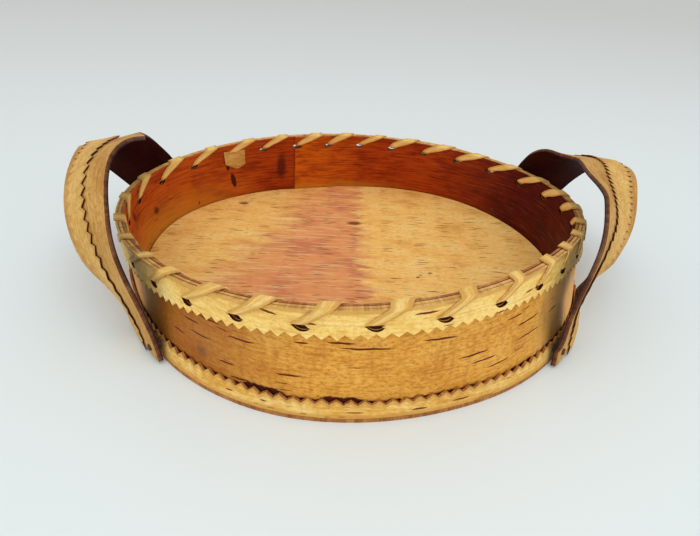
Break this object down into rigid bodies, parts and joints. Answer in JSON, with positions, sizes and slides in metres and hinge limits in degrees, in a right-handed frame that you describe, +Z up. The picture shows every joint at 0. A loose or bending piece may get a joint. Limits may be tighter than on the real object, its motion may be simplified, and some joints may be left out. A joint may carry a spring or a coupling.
{
  "type": "birch bark basket",
  "caption": "Low round basket of birch bark with lapped sheet walls, pinked bands, a laced rim and a bark strap handle loop on each side.",
  "frame": {"origin": "middle of the underside, on the surface that the basket stands on", "axes": "+Z up, the handles lie along X, the front of the picture is -Y"},
  "size_m": [0.296, 0.2521, 0.0735],
  "materials": {
    "bark_straw": "pale straw birch bark, smooth, with a few short dark lenticels, matt satin",
    "bark_ochre": "golden brown birch bark with fine mottled grain and long dark horizontal lenticels",
    "bark_tan": "tan birch bark with short dark lenticels and pale scuffs, matt satin",
    "bark_maroon": "dark maroon inner side of birch bark, satin",
    "bark_rust": "orange brown to maroon birch bark, satin",
    "birch_wood": "plain birch wood, matt"
  },
  "bodies": {
    "root": {"base_panel": "bark_tan", "floor_panel": "bark_tan", "wall_outer": "bark_ochre", "wall_lining": "bark_rust", "lower_band": "bark_straw", "upper_band": "bark_straw", "rim_lacing": "bark_straw", "handle_left_inner": "bark_maroon", "handle_left_outer": "bark_tan", "handle_left_trim": "bark_straw", "handle_right_inner": "bark_maroon", "handle_right_outer": "bark_tan", "handle_right_trim": "bark_straw", "peg_left_front": "birch_wood", "peg_left_back": "birch_wood", "peg_right_front": "birch_wood", "peg_right_back": "birch_wood"}
  },
  "joints": []
}
